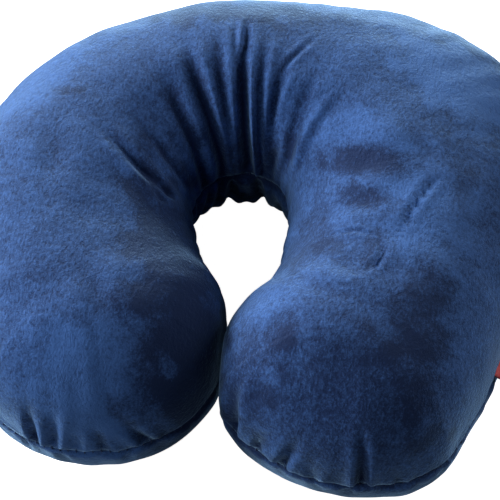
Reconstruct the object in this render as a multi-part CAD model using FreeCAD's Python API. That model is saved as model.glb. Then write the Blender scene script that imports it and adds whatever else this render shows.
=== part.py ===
"""U shaped travel neck pillow: a moulded foam core in a thin knitted liner, inside a two panel velour
cover that zips shut across the back, with a folded ribbon label sewn into the right arm's seam.

Row frame, in millimetres: +Z up, the pillow lies on z = 0, the U opens towards -Y, and +X is the side
that carries the label. Angles named "heading" turn clockwise from +Y, as seen from above.
"""
import FreeCAD, Part
import os
from math import asin, cos, degrees, pi, radians, sin
from FreeCAD import Placement, Rotation, Vector

# ---- plan of the U: one arc round the back of the neck, then an easier arc down each arm ----
neck_centre_y = -2.1
back_radius = 92.0          # middle of the roll, round the back of the neck
arc_change = 80.0           # heading where the easier arc takes over
right_arm_radius = 118.0    # middle of the roll, down the longer right arm
left_arm_radius = 104.0
tip_radius = 66.0
tip_gap = 1.5               # space left between the two tips

# ---- width of the roll ----
outer_seam_radius = 149.0   # the outer seam is one arc about the zip's axis
zip_axis_x = -9.5
zip_axis_y = -4.2
inner_half_width = 51.5     # from the middle of the roll to the neck seam, at the back
swell_headings = (15.0, 85.0)   # where the inner flank swells to the tip's radius
blend_headings = (95.0, 125.0)  # where the outer flank takes the tip's radius
shoulder_bulge = 12.0       # the fuller right shoulder
shoulder_heading = 44.0     # of its middle; the bulge reaches as far again to both sides

# ---- section of the roll ----
seam_height = 55.0
crown_height = 55.0         # above the seam
belly_depth = 56.0          # below the seam, before the resting face is pressed flat
fullness = 0.60             # how square the section is: 0.552 is a true ellipse
seam_gap = 0.2              # between the two panels
section_count = 13          # sections that each half of the U is lofted through

# ---- layers, as depths below the cover's outer face ----
cover_thickness = 1.8
tape_depths = (2.1, 2.6)
liner_depths = (4.1, 4.9)
core_depth = 5.1

# ---- zip along the left half of the back, headings about its own axis ----
zip_first_heading = -90.0
zip_last_heading = -14.0
zip_section_width = 62.0    # half the roll's width there, which the tapes' curve follows
slit_half_width = 5.0
tape_edges = (0.9, 12.0)    # height of a tape's two edges above and below the seam
coil_inset = 1.5            # degrees from a tape's end to the coil's end
coil_radius = 0.8
coil_height = 1.55          # centre of each coil row above and below the seam
coil_depth = 1.25
stop_length = 1.6
slider_heading = -18.2      # parked at the closed end
slider_half_angle = 2.2
slider_half_width = 4.4
slider_plate = 1.2
slider_flange = 0.9
web_half_thickness = 0.4
arch_radii = (2.3, 3.6)
arch_half_width = 1.0
pull_bar_radius = 0.7
pull_bar_height = 1.15      # above the foot of the arch
pull_length = 25.0
pull_half_width = 3.2
pull_thickness = 1.2
pull_eye = (1.6, 4.8)       # half width and length of the slot that clears the arch
pull_hole_radius = 1.5

# ---- stitches ----
thread_radius = 0.3
stitch_length = 5.0
stitch_pitch = 12.0
zip_stitch_height = 8.5
zip_stitch_pitch = 6.0

# ---- ribbon label in the right arm's seam ----
label_heading = 110.0
label_width = 20.0
label_length = 14.0
label_layer = 0.5
label_droop = 30.0
label_hinge_gap = 0.7       # from the cover's outer face to the fold line

# ---- care label, sewn in behind the zip's closed end ----
care_headings = (-12.0, -5.0)
care_heights = (6.0, 38.0)
care_depths = (2.2, 2.5)

RIGHT, LEFT = 1, -1
neck = Vector(0, neck_centre_y, 0)
zip_axis = Vector(zip_axis_x, zip_axis_y, 0)


def outward(heading, hand=RIGHT):
    """Level unit vector at a heading, on the right or, mirrored, on the left."""
    return Vector(hand * sin(radians(heading)), cos(radians(heading)), 0)


def smooth(value, span):
    """0 before the span, 1 after it, and an even S curve between."""
    share = min(max((value - span[0]) / (span[1] - span[0]), 0.0), 1.0)
    return share * share * (3 - 2 * share)


def arm_arc(hand):
    """Centre and radius of the easier arc that the roll's middle follows down an arm."""
    radius = right_arm_radius if hand == RIGHT else left_arm_radius
    return neck + outward(arc_change, hand) * (back_radius - radius), radius


def tip_heading(hand):
    """Heading at which the middle of the roll is one tip radius away from the other arm's side."""
    centre, radius = arm_arc(hand)
    return 180.0 - degrees(asin((tip_radius + tip_gap / 2 - hand * centre.x) / radius))


def roll_middle(heading, hand):
    """Point of the roll's middle line, on the floor."""
    centre, radius = (neck, back_radius) if heading <= arc_change else arm_arc(hand)
    return centre + outward(heading, hand) * radius


def outer_width(heading, hand):
    """Width of the outer flank: out to the outer seam's arc, then blended into the tip's radius.

    The right side is that of the left, mirrored, with its fuller shoulder added."""
    middle = roll_middle(heading, hand)
    axis = Vector(hand * LEFT * zip_axis_x, zip_axis_y, 0)
    offset = middle - axis
    along = offset.dot(outward(heading, hand))
    reach = (along * along - offset.dot(offset) + outer_seam_radius ** 2) ** 0.5 - along
    if hand == RIGHT:
        reach += shoulder_bulge * sin(pi * min(0.5 * heading / shoulder_heading, 1.0)) ** 2
    return reach + (tip_radius - reach) * smooth(heading, blend_headings)


def inner_width(heading, hand):
    """Width of the inner flank, which swells smoothly to the tip's radius."""
    return inner_half_width + (tip_radius - inner_half_width) * smooth(heading, swell_headings)


def quarter(middle, out, reach, base, rise):
    """Curve of a quarter section, from the seam at `reach` along `out` up, or down, to the crown."""
    foot = middle + Vector(0, 0, base)
    bow = Part.BezierCurve()
    bow.setPoles([foot + out * reach,
                  foot + out * reach + Vector(0, 0, rise * fullness),
                  foot + out * reach * fullness + Vector(0, 0, rise),
                  foot + Vector(0, 0, rise)])
    return bow.toShape()


def line(start, end):
    """Straight edge."""
    return Part.makeLine(start, end)


def ends(edge):
    """First and last point of an edge."""
    return edge.valueAt(edge.FirstParameter), edge.valueAt(edge.LastParameter)


def half_section(middle, out, widths, depths, side, gap):
    """Closed wire of the layer between two depths, in the upper (side 1) or lower (side -1) half.

    `widths` are those of the outer and inner flank. With the outer one alone the wire stops at the
    crown, for the tips, which are turned about their own middle. With one depth the layer is filled
    down to the seam plane."""
    full_rise = crown_height if side > 0 else belly_depth
    base = seam_height + side * gap / 2
    skins = []
    for depth in depths:
        rise = side * (full_rise - depth - gap / 2)
        flanks = zip((out, out * -1), widths)
        skins.append([quarter(middle, way, width - depth, base, rise) for way, width in flanks])
    seam_ends = [ends(edge)[0] for edge in skins[0]]
    crown = ends(skins[0][0])[1]
    foot = middle + Vector(0, 0, base)
    edges = [edge for skin in skins for edge in skin]
    if len(skins) == 1:
        edges.append(line(seam_ends[0], (seam_ends + [foot])[1]))
        if len(widths) == 1:
            edges.append(line(crown, foot))
    else:
        edges += [line(ends(a)[0], ends(b)[0]) for a, b in zip(*skins)]
        if len(widths) == 1:
            edges.append(line(crown, ends(skins[1][0])[1]))
    return Part.Wire(Part.__sortEdges__(edges))


def arm(depths, side, gap, hand):
    """One half of the U, lofted through sections from the middle of the back to the tip."""
    last = tip_heading(hand)
    wires = []
    for step in range(section_count):
        heading = last * step / (section_count - 1)
        widths = (outer_width(heading, hand), inner_width(heading, hand))
        middle = roll_middle(heading, hand)
        wires.append(half_section(middle, outward(heading, hand), widths, depths, side, gap))
    return Part.makeLoft(wires, True, False)


def tip(depths, side, gap, hand):
    """A tip's dome, turned half way round about the end of the arm."""
    heading = tip_heading(hand)
    middle = roll_middle(heading, hand)
    wire = half_section(middle, outward(heading, hand), (tip_radius,), depths, side, gap)
    return Part.Face(wire).revolve(middle, Vector(0, 0, 1), -180 * hand)


def half_roll(depths, side, gap=seam_gap):
    """One half of the whole U, above or below the seam, as a layer between two depths."""
    pieces = [make(depths, side, gap, hand) for hand in (RIGHT, LEFT) for make in (arm, tip)]
    return pieces[0].multiFuse(pieces[1:])


def ring_block(radii, heights, headings):
    """Curved block about the zip's axis: radii and heights as (low, high), headings as (from, to)."""
    first, last = headings
    order = ((0, 0), (1, 0), (1, 1), (0, 1))
    corners = [zip_axis + outward(last) * radii[a] + Vector(0, 0, heights[b]) for a, b in order]
    face = Part.Face(Part.makePolygon(corners + corners[:1]))
    return face.revolve(zip_axis, Vector(0, 0, 1), last - first)


def zip_slit():
    """The gap in the two panels that the zip shows through."""
    reach = (outer_seam_radius - 8, outer_seam_radius + 5)
    return ring_block(reach, (seam_height - slit_half_width, seam_height + slit_half_width),
                      (zip_first_heading - 0.5, zip_last_heading + 0.5))


def cover_top_panel():
    """Upper velour panel."""
    return half_roll((0.0, cover_thickness), 1).cut(zip_slit())


def cover_bottom_panel():
    """Lower velour panel, pressed flat where it rests."""
    under = Part.makeBox(500, 500, 20, Vector(-250, -250, -20))
    return half_roll((0.0, cover_thickness), -1).cut(zip_slit()).cut(under)


def zip_band(depths, edges, headings, side):
    """Curved strip behind the cover, between two depths, two heights and two headings."""
    first, last = headings
    out = outward(last)
    middle = zip_axis + out * (outer_seam_radius - zip_section_width)
    wire = half_section(middle, out, (zip_section_width,), depths, side, 0.0)
    layer = Part.Face(wire).revolve(zip_axis, Vector(0, 0, 1), last - first)
    low, high = sorted((seam_height + side * edges[0], seam_height + side * edges[1]))
    return layer.common(ring_block((outer_seam_radius - 40, outer_seam_radius + 5), (low, high), headings))


def zip_tape(side):
    """Woven tape of one half of the zip."""
    return zip_band(tape_depths, tape_edges, (zip_first_heading, zip_last_heading), side)


def zip_coil(side):
    """One coil row of the zip, along its tape's edge."""
    last = zip_last_heading - coil_inset
    out = outward(last)
    level = Vector(0, 0, seam_height + side * coil_height)
    centre = zip_axis + out * (outer_seam_radius - coil_depth) + level
    disc = Part.Face(Part.Wire(Part.makeCircle(coil_radius, centre, out.cross(Vector(0, 0, 1)))))
    return disc.revolve(zip_axis, Vector(0, 0, 1), last - zip_first_heading - coil_inset)


def arc_degrees(length, radius):
    """Angle that a length takes up on an arc."""
    return degrees(length / radius)


def zip_stop(first_heading, heights):
    """Crimped metal stop across one or both coil rows."""
    depth = (coil_depth + coil_radius, coil_depth - coil_radius)
    turn = arc_degrees(stop_length, outer_seam_radius)
    levels = (seam_height + heights[0], seam_height + heights[1])
    return ring_block((outer_seam_radius - depth[0], outer_seam_radius - depth[1]), levels,
                      (first_heading, first_heading + turn))


def zip_top_stops():
    """The pair of stops at the closed end, one on each row."""
    edge = coil_height + coil_radius
    start = zip_last_heading - coil_inset + 0.1
    upper = zip_stop(start, (coil_height - coil_radius, edge))
    lower = zip_stop(start, (-edge, coil_radius - coil_height))
    return Part.makeCompound([upper, lower])


def zip_bottom_stop():
    """The single stop that joins both rows at the open end."""
    edge = coil_height + coil_radius
    turn = arc_degrees(stop_length, outer_seam_radius)
    return zip_stop(zip_first_heading + coil_inset - 0.1 - turn, (-edge, edge))


def slider_arch_foot():
    """Centre of the arch that the pull hangs from."""
    return zip_axis + outward(slider_heading) * (outer_seam_radius + slider_plate) + Vector(0, 0, seam_height)


def zip_slider():
    """Slider: outer plate with side flanges, web between the rows, inner plate, and the pull's arch."""
    span = (slider_heading - slider_half_angle, slider_heading + slider_half_angle)
    wide = (seam_height - slider_half_width, seam_height + slider_half_width)
    outer = ring_block((outer_seam_radius + 0.05, outer_seam_radius + slider_plate + 0.05), wide, span)
    inner = ring_block((outer_seam_radius - 3.8, outer_seam_radius - 3.0), wide, span)
    web = ring_block((outer_seam_radius - 3.2, outer_seam_radius + 0.5),
                     (seam_height - web_half_thickness, seam_height + web_half_thickness),
                     (slider_heading + 0.6, span[1]))
    flanges = []
    for side in (-1, 1):
        edges = (slider_half_width - slider_flange, slider_half_width)
        heights = sorted(seam_height + side * edge for edge in edges)
        flanges.append(ring_block((outer_seam_radius - 1.5, outer_seam_radius + 0.5), heights, span))
    foot = slider_arch_foot() - Vector(0, 0, arch_half_width)
    arch = Part.makeCylinder(arch_radii[1], 2 * arch_half_width, foot)
    arch = arch.cut(Part.makeCylinder(arch_radii[0], 2 * arch_half_width, foot))
    outside = ring_block((outer_seam_radius + slider_plate - 0.5, outer_seam_radius + 12),
                         (seam_height - 5, seam_height + 5), (slider_heading - 5, slider_heading + 5))
    arch = arch.common(outside)
    return outer.multiFuse([inner, web, arch] + flanges)


def zip_pull_tab():
    """Pull: a bar through the arch, an eye that clears it, and a flat tongue with a round end."""
    half = pull_thickness / 2
    eye_half, eye_length = pull_eye
    tongue_end = pull_length - pull_half_width
    plate = Part.makeBox(tongue_end, pull_thickness, 2 * pull_half_width, Vector(0, -half, -pull_half_width))
    turn = Placement(Vector(tongue_end, half, 0), Rotation(Vector(1, 0, 0), 90))
    tip = Part.makeCylinder(pull_half_width, pull_thickness)
    tip.Placement = turn
    hole = Part.makeCylinder(pull_hole_radius, pull_thickness * 3)
    hole.Placement = Placement(Vector(tongue_end, pull_thickness * 1.5, 0), Rotation(Vector(1, 0, 0), 90))
    eye = Part.makeBox(eye_length + 1, 4, 2 * eye_half, Vector(-1, -2, -eye_half))
    bar = Part.makeCylinder(pull_bar_radius, 2 * pull_half_width, Vector(0, 0, -pull_half_width))
    tab = plate.fuse(tip).cut(hole).cut(eye).fuse(bar)
    place = slider_arch_foot() + outward(slider_heading) * pull_bar_height
    tab.Placement = Placement(place, Rotation(Vector(0, 0, 1), 180.0 - slider_heading))
    return tab


def stitch(place, along):
    """One short run of thread, centred on a point."""
    start = place - along * (stitch_length / 2)
    return Part.makeCylinder(thread_radius, stitch_length, start, along)


def seam_stitches():
    """Stitches that join the two panels all round the U, except behind the zip."""
    up = Vector(0, 0, 1)
    level = Vector(0, 0, seam_height)
    inset = cover_thickness / 2
    places = []
    for hand in (RIGHT, LEFT):
        last = tip_heading(hand)
        first = 4.0 if hand == RIGHT else -zip_first_heading + 4.0
        for flank, width, heading in ((1, outer_width, first), (-1, inner_width, 5.0)):
            while heading < last:
                reach = flank * (width(heading, hand) - inset)
                places.append(roll_middle(heading, hand) + outward(heading, hand) * reach + level)
                heading += arc_degrees(stitch_pitch, back_radius + reach)
        middle = roll_middle(last, hand) + level
        count = int(pi * tip_radius / stitch_pitch)
        for step in range(count + 1):
            places.append(middle + outward(last + 180.0 * step / count, hand) * (tip_radius - inset))
    return Part.makeCompound([stitch(place, up) for place in places])


def zip_stitches(side):
    """Stitches that hold one tape to its panel."""
    sweep = zip_last_heading - zip_first_heading - 2.0
    count = int(radians(sweep) * outer_seam_radius / zip_stitch_pitch)
    level = Vector(0, 0, seam_height + side * zip_stitch_height)
    runs = []
    for step in range(count + 1):
        out = outward(zip_first_heading + 1.0 + sweep * step / count)
        start = zip_axis + out * (outer_seam_radius - tape_depths[1] - 0.7) + level
        runs.append(Part.makeCylinder(thread_radius, 2.4, start, out))
    return Part.makeCompound(runs)


def label_frame():
    """Point on the cover's seam at the label, and the outward direction there."""
    out = outward(label_heading)
    reach = outer_width(label_heading, RIGHT)
    return roll_middle(label_heading, RIGHT) + out * reach + Vector(0, 0, seam_height), out


def ribbon(start, length, lift, thickness, droop):
    """Flat strip of ribbon, as wide as the label, that may droop about its fold line."""
    strip = Part.makeBox(length, label_width, thickness, Vector(start, -label_width / 2, lift))
    strip.rotate(Vector(0, 0, 0), Vector(0, 1, 0), droop)
    return strip


def set_on_seam(strip, offset):
    """Carry a ribbon from its own frame, +X outwards, to the label's place on the seam."""
    point, out = label_frame()
    turn = Rotation(Vector(0, 0, 1), 90.0 - label_heading)
    strip.Placement = Placement(point + out * offset, turn).multiply(strip.Placement)
    return strip


def label_tail():
    """The label's sewn end, between the two panels."""
    return set_on_seam(ribbon(-3.5, 3.3, -label_layer, 2 * label_layer, 0.0), 0.0)


def label_face(upper):
    """One of the label's two layers beyond the seam: the red face above, the black lining below."""
    lift = 0.0 if upper else -label_layer
    return set_on_seam(ribbon(0.6, label_length, lift, label_layer, label_droop), label_hinge_gap)


def care_label():
    """Care label inside the cover, beside the zip's closed end."""
    return zip_band(care_depths, care_heights, care_headings, -1)


def foam_core():
    """Moulded foam filling."""
    return half_roll((core_depth,), 1, 0.0).fuse(half_roll((core_depth,), -1, 0.0))


def write_parts():
    """Make every piece and write each to its own file."""
    pieces = {
        "cover_top_panel": cover_top_panel(),
        "cover_bottom_panel": cover_bottom_panel(),
        "seam_stitches": seam_stitches(),
        "zip_tape_upper": zip_tape(1),
        "zip_tape_lower": zip_tape(-1),
        "zip_coil_upper": zip_coil(1),
        "zip_coil_lower": zip_coil(-1),
        "zip_stitches_upper": zip_stitches(1),
        "zip_stitches_lower": zip_stitches(-1),
        "zip_top_stops": zip_top_stops(),
        "zip_bottom_stop": zip_bottom_stop(),
        "zip_slider": zip_slider(),
        "zip_pull_tab": zip_pull_tab(),
        "liner_top_panel": half_roll(liner_depths, 1),
        "liner_bottom_panel": half_roll(liner_depths, -1),
        "foam_core": foam_core(),
        "label_tail": label_tail(),
        "label_red": label_face(True),
        "label_black": label_face(False),
        "care_label": care_label(),
    }
    os.makedirs("parts", exist_ok=True)
    for name, shape in pieces.items():
        shape.exportStep("parts/" + name + ".step")
        litres = shape.Volume / 1e6
        print(f"{name:20s} solids {len(shape.Solids):3d}  litres {litres:8.5f}  valid {shape.isValid()}")
    fold, out = label_frame()
    bar = slider_arch_foot() + outward(slider_heading) * pull_bar_height
    print("slider turns about", tuple(zip_axis), "and the pull about", tuple(bar))
    print("label folds about", tuple(fold + out * label_hinge_gap), "facing", tuple(out))


write_parts()
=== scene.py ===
"""U shaped travel neck pillow: navy velour cover, gathered at the neck, with a zip and a ribbon label.

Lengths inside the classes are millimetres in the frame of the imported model, and every mesh is
written in metres. The pillow is one roll bent into a U. A "column" is a place along the seam that
runs all round the roll, and a "row" is a step from that seam, over a panel, to the crown.
"""
import logging
from dataclasses import dataclass, field
from enum import Enum

import bpy
import numpy as np
from mathutils import Matrix, Vector


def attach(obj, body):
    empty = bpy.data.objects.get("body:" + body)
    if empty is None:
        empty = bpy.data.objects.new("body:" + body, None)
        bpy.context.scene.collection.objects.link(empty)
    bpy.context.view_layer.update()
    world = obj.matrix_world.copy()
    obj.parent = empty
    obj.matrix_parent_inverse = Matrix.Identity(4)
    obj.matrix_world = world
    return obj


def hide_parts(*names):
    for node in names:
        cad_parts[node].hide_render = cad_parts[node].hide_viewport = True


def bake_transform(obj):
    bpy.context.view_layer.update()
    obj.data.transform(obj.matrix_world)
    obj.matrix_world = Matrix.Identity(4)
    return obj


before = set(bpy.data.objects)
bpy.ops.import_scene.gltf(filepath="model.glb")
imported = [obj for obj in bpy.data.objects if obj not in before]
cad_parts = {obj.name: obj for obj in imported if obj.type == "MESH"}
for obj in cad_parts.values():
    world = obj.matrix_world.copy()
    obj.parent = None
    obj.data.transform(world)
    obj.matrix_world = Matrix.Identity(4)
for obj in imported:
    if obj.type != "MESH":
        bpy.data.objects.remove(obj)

MM = 0.001
STATIONS = 230                      # columns along one flank of an arm, for the cover and what lies on it
TIP_STATIONS = 120                  # columns round a tip
ROWS = 58                           # steps from the seam to the crown
TUBE_DOME = 0.6                     # how far a tube's end bulges, as a share of its radius
Mesh = tuple[np.ndarray, list[list[int]]]           # points, and the point numbers of each face
log = logging.getLogger("neck_pillow")


class Side(Enum):
    """Which arm of the U, as the sign of its x."""

    RIGHT = 1
    LEFT = -1


class Half(Enum):
    """Which panel of the cover, as the sign of its height above the seam."""

    TOP = 1
    BOTTOM = -1


# ---------------------------------------------------------------- numbers and grids


def smooth(value: np.ndarray, low: float, high: float) -> np.ndarray:
    """S curve from 0 at low to 1 at high: 3a^2 - 2a^3 of the clipped share a."""
    share = np.clip((value - low) / (high - low), 0.0, 1.0)
    return share * share * (3.0 - 2.0 * share)


def unit(vectors: np.ndarray) -> np.ndarray:
    """The same vectors at length 1."""
    return vectors / np.maximum(np.linalg.norm(vectors, axis=-1, keepdims=True), 1e-12)


def soft_floor(value: np.ndarray, floor: float, ease: float) -> np.ndarray:
    """Keeps values above a floor with a rounded knee: floor + ease * ln(1 + e^((value - floor) / ease))."""
    return floor + ease * np.logaddexp(0.0, (value - floor) / ease)


def cubic_through(values: tuple[float, ...], start_slope: float, at: np.ndarray) -> np.ndarray:
    """Smooth curve through evenly spaced values, with a given slope at 0 and no bend at 1.

    Each span is the cubic fixed by its end values and end curvatures; the curvatures solve the
    equations that make the slopes meet.

    Args:
        values: what the curve passes through, evenly spaced from 0 to 1.
        start_slope: slope at 0, per unit of `at`.
        at: shares from 0 to 1.

    Returns:
        The curve's value at each share.
    """
    level = np.array(values, float)
    last = len(level) - 1
    step = 1.0 / last
    matrix = np.zeros((last + 1, last + 1))
    right = np.zeros(last + 1)
    matrix[0, :2] = 2.0, 1.0
    right[0] = 6.0 / step * ((level[1] - level[0]) / step - start_slope)
    for row in range(1, last):
        matrix[row, row - 1:row + 2] = 1.0, 4.0, 1.0
        right[row] = 6.0 / step ** 2 * (level[row + 1] - 2.0 * level[row] + level[row - 1])
    matrix[last, last] = 1.0
    bend = np.linalg.solve(matrix, right)
    span = np.clip((at / step).astype(int), 0, last - 1)
    after = at / step - span
    before = 1.0 - after
    curved = (before ** 3 - before) * bend[span] + (after ** 3 - after) * bend[span + 1]
    return before * level[span] + after * level[span + 1] + curved * step ** 2 / 6.0


def ripples(points: np.ndarray, lengths: tuple[float, float], count: int, seed: int) -> np.ndarray:
    """Smooth random field, about -1 to 1: a sum of plane waves with drawn directions and phases.

    Args:
        points: array of places, last axis the coordinates in millimetres.
        lengths: shortest and longest wave.
        count: how many waves are added.
        seed: seed of the draw.

    Returns:
        One value per place.
    """
    draw = np.random.default_rng(seed)
    directions = unit(draw.normal(size=(count, points.shape[-1])))
    wave_numbers = directions * (2.0 * np.pi / draw.uniform(*lengths, size=(count, 1)))
    phases = draw.uniform(0.0, 2.0 * np.pi, count)
    return np.cos(points @ wave_numbers.T + phases).sum(-1) / np.sqrt(count)


def grid_quads(rows: int, columns: int, closed: bool = False) -> np.ndarray:
    """Quads between neighbouring points of a grid that is stored row by row.

    Args:
        rows: number of rows of points.
        columns: number of points in a row.
        closed: whether the last column joins the first.

    Returns:
        Array of quads, turned so that row steps are up when column steps are to the right.
    """
    across = np.arange(columns if closed else columns - 1)
    row, column = np.meshgrid(np.arange(rows - 1), across, indexing="ij")
    after = (column + 1) % columns
    low, high = row * columns, (row + 1) * columns
    return np.stack([low + column, low + after, high + after, high + column], -1).reshape(-1, 4)


def faces_of(quads: np.ndarray) -> list[list[int]]:
    """Faces as lists, with quads that have two equal neighbours made into triangles."""
    fallen = quads[:, 2] == quads[:, 3]
    return quads[~fallen].tolist() + quads[fallen][:, :3].tolist()


def write_piece(name: str, points: np.ndarray, faces: list[list[int]], finish: bpy.types.Material,
                attributes: dict[str, np.ndarray] | None = None) -> bpy.types.Object:
    """Makes a smooth shaded piece at the origin from points in millimetres.

    Args:
        name: the piece's name.
        points: (n, 3) places.
        faces: point numbers of each face.
        finish: its material.
        attributes: values per point that the material reads.

    Returns:
        The new object.
    """
    mesh = bpy.data.meshes.new(name)
    mesh.from_pydata((np.asarray(points, float) * MM).tolist(), [], faces)
    for key, values in (attributes or {}).items():
        mesh.attributes.new(key, "FLOAT", "POINT").data.foreach_set("value", values.astype(np.float32))
    mesh.polygons.foreach_set("use_smooth", np.ones(len(mesh.polygons), bool))
    mesh.validate()
    mesh.update()
    mesh.materials.append(finish)
    piece = bpy.data.objects.new(name, mesh)
    bpy.context.scene.collection.objects.link(piece)
    return piece


def slab(points: np.ndarray, outward: np.ndarray, thickness: float) -> Mesh:
    """Closed thin solid from a grid of points: the grid, a copy moved back, and a rim between them.

    Args:
        points: (rows, columns, 3) front face.
        outward: (rows, columns, 3) unit directions that the front face looks to.
        thickness: distance from the front to the back.

    Returns:
        Its points and its faces, with faces outward when rows are up and columns to the right.
    """
    rows, columns = points.shape[:2]
    count = rows * columns
    both = np.concatenate([points.reshape(-1, 3), (points - outward * thickness).reshape(-1, 3)])
    front = grid_quads(rows, columns)
    back = front[:, ::-1] + count
    index = np.arange(count).reshape(rows, columns)
    edge = np.concatenate([index[0, :], index[1:, -1], index[-1, -2::-1], index[-2:0:-1, 0]])
    after = np.roll(edge, -1)
    rim = np.stack([after, edge, edge + count, after + count], -1)
    return both, np.concatenate([front, back, rim]).tolist()


def tube(path: np.ndarray, radius: float, sides: int, side_way: np.ndarray) -> Mesh:
    """Round tube along a path, with closed domed ends.

    A ring of `sides` points is carried along the path, square to it: the ring's first axis is
    `side_way` less its share along the path, and its second is square to both.

    Args:
        path: (n, 3) places in millimetres.
        radius: of the tube.
        sides: points in a ring.
        side_way: a direction, or one per place, that is never along the path.

    Returns:
        Its points and its faces.
    """
    along = unit(np.gradient(path, axis=0))
    first = unit(side_way - (side_way * along).sum(-1, keepdims=True) * along)
    second = np.cross(along, first)
    turn = np.arange(sides) * 2.0 * np.pi / sides
    ring = first[:, None] * np.cos(turn)[:, None] + second[:, None] * np.sin(turn)[:, None]
    body = path[:, None] + ring * radius
    start = path[0] - along[0] * radius * TUBE_DOME
    end = path[-1] + along[-1] * radius * TUBE_DOME
    points = np.concatenate([body.reshape(-1, 3), start[None], end[None]])
    quads = grid_quads(len(path), sides, closed=True)
    first_end, last_end = len(points) - 2, len(points) - 1
    edge = np.arange(sides)
    after = (edge + 1) % sides
    rise = (len(path) - 1) * sides
    caps = [[int(b), int(a), first_end] for a, b in zip(edge, after)]
    caps += [[int(a) + rise, int(b) + rise, last_end] for a, b in zip(edge, after)]
    return points, quads.tolist() + caps


def gathered(parts: list[Mesh]) -> Mesh:
    """Several point and face lists as one."""
    points, faces, start = [], [], 0
    for some_points, some_faces in parts:
        points.append(some_points)
        faces += [[number + start for number in face] for face in some_faces]
        start += len(some_points)
    return np.concatenate(points), faces


# ---------------------------------------------------------------- finishes


class Recipe:
    """A node material in the making, with short calls for what the finishes share."""

    def __init__(self, name: str) -> None:
        """Starts a material with one surface shader."""
        self.material = bpy.data.materials.new(name)
        self.material.use_nodes = True
        self.tree = self.material.node_tree
        self.shader = self.tree.nodes["Principled BSDF"]
        self.place = self.tree.nodes.new("ShaderNodeTexCoord").outputs["Object"]

    def node(self, kind: str, **settings: object) -> bpy.types.Node:
        """A new node with its settings."""
        made = self.tree.nodes.new(kind)
        for key, value in settings.items():
            setattr(made, key, value)
        return made

    def feed(self, socket: bpy.types.NodeSocket, value: object) -> None:
        """Links an output into a socket, or sets the socket's number or colour."""
        if isinstance(value, bpy.types.NodeSocket):
            self.tree.links.new(value, socket)
        else:
            socket.default_value = value

    def noise(self, scale: float, detail: float = 2.0, rough: float = 0.5, bend: float = 0.0,
              place: bpy.types.NodeSocket | None = None) -> bpy.types.NodeSocket:
        """Noise value over the piece; scale is per metre."""
        made = self.node("ShaderNodeTexNoise")
        self.feed(made.inputs["Vector"], place or self.place)
        for key, value in (("Scale", scale), ("Detail", detail), ("Roughness", rough), ("Distortion", bend)):
            self.feed(made.inputs[key], value)
        return made.outputs["Fac"]

    def stretched(self, scale: tuple[float, float, float]) -> bpy.types.NodeSocket:
        """The piece's own coordinates, scaled along each axis."""
        made = self.node("ShaderNodeMapping")
        self.feed(made.inputs["Vector"], self.place)
        made.inputs["Scale"].default_value = scale
        return made.outputs["Vector"]

    def attribute(self, name: str) -> bpy.types.NodeSocket:
        """A value that the mesh carries per point."""
        return self.node("ShaderNodeAttribute", attribute_name=name).outputs["Fac"]

    def spread(self, value: object, low: float, high: float, to_low: float = 0.0,
               to_high: float = 1.0) -> bpy.types.NodeSocket:
        """Maps low..high to to_low..to_high along an S curve."""
        made = self.node("ShaderNodeMapRange", interpolation_type="SMOOTHSTEP")
        for key, number in (("Value", value), ("From Min", low), ("From Max", high),
                            ("To Min", to_low), ("To Max", to_high)):
            self.feed(made.inputs[key], number)
        return made.outputs["Result"]

    def sum(self, operation: str, first: object, second: object) -> bpy.types.NodeSocket:
        """One arithmetic step on two values."""
        made = self.node("ShaderNodeMath", operation=operation)
        self.feed(made.inputs[0], first)
        self.feed(made.inputs[1], second)
        return made.outputs[0]

    def mix(self, share: object, first: object, second: object) -> bpy.types.NodeSocket:
        """Mixes two colours by a share."""
        made = self.node("ShaderNodeMix", data_type="RGBA")
        self.feed(made.inputs[0], share)
        self.feed(made.inputs[6], first)
        self.feed(made.inputs[7], second)
        return made.outputs[2]

    def wave(self, scale: float, direction: str, place: bpy.types.NodeSocket | None = None,
             bend: float = 0.0) -> bpy.types.NodeSocket:
        """Even ribs along an axis of the piece."""
        made = self.node("ShaderNodeTexWave", bands_direction=direction)
        self.feed(made.inputs["Vector"], place or self.place)
        self.feed(made.inputs["Scale"], scale)
        self.feed(made.inputs["Distortion"], bend)
        return made.outputs["Fac"]

    def bump(self, height: bpy.types.NodeSocket, strength: float, distance: float,
             under: bpy.types.NodeSocket | None = None) -> bpy.types.NodeSocket:
        """Relief from a height value; distance in metres."""
        made = self.node("ShaderNodeBump")
        self.feed(made.inputs["Height"], height)
        self.feed(made.inputs["Strength"], strength)
        self.feed(made.inputs["Distance"], distance)
        if under is not None:
            self.feed(made.inputs["Normal"], under)
        return made.outputs["Normal"]

    def dress(self, colour: object, roughness: object, normal: bpy.types.NodeSocket | None = None,
              **numbers: object) -> bpy.types.Material:
        """Feeds the shader and gives the material; numbers are set on the shader's own sockets."""
        self.feed(self.shader.inputs["Base Color"], colour)
        self.feed(self.shader.inputs["Roughness"], roughness)
        if normal is not None:
            self.feed(self.shader.inputs["Normal"], normal)
        for key, value in numbers.items():
            socket = key.replace("_", " ").title().replace("Ior", "IOR")
            self.shader.inputs[socket].default_value = value
        return self.material


Colour = tuple[float, float, float, float]


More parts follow.
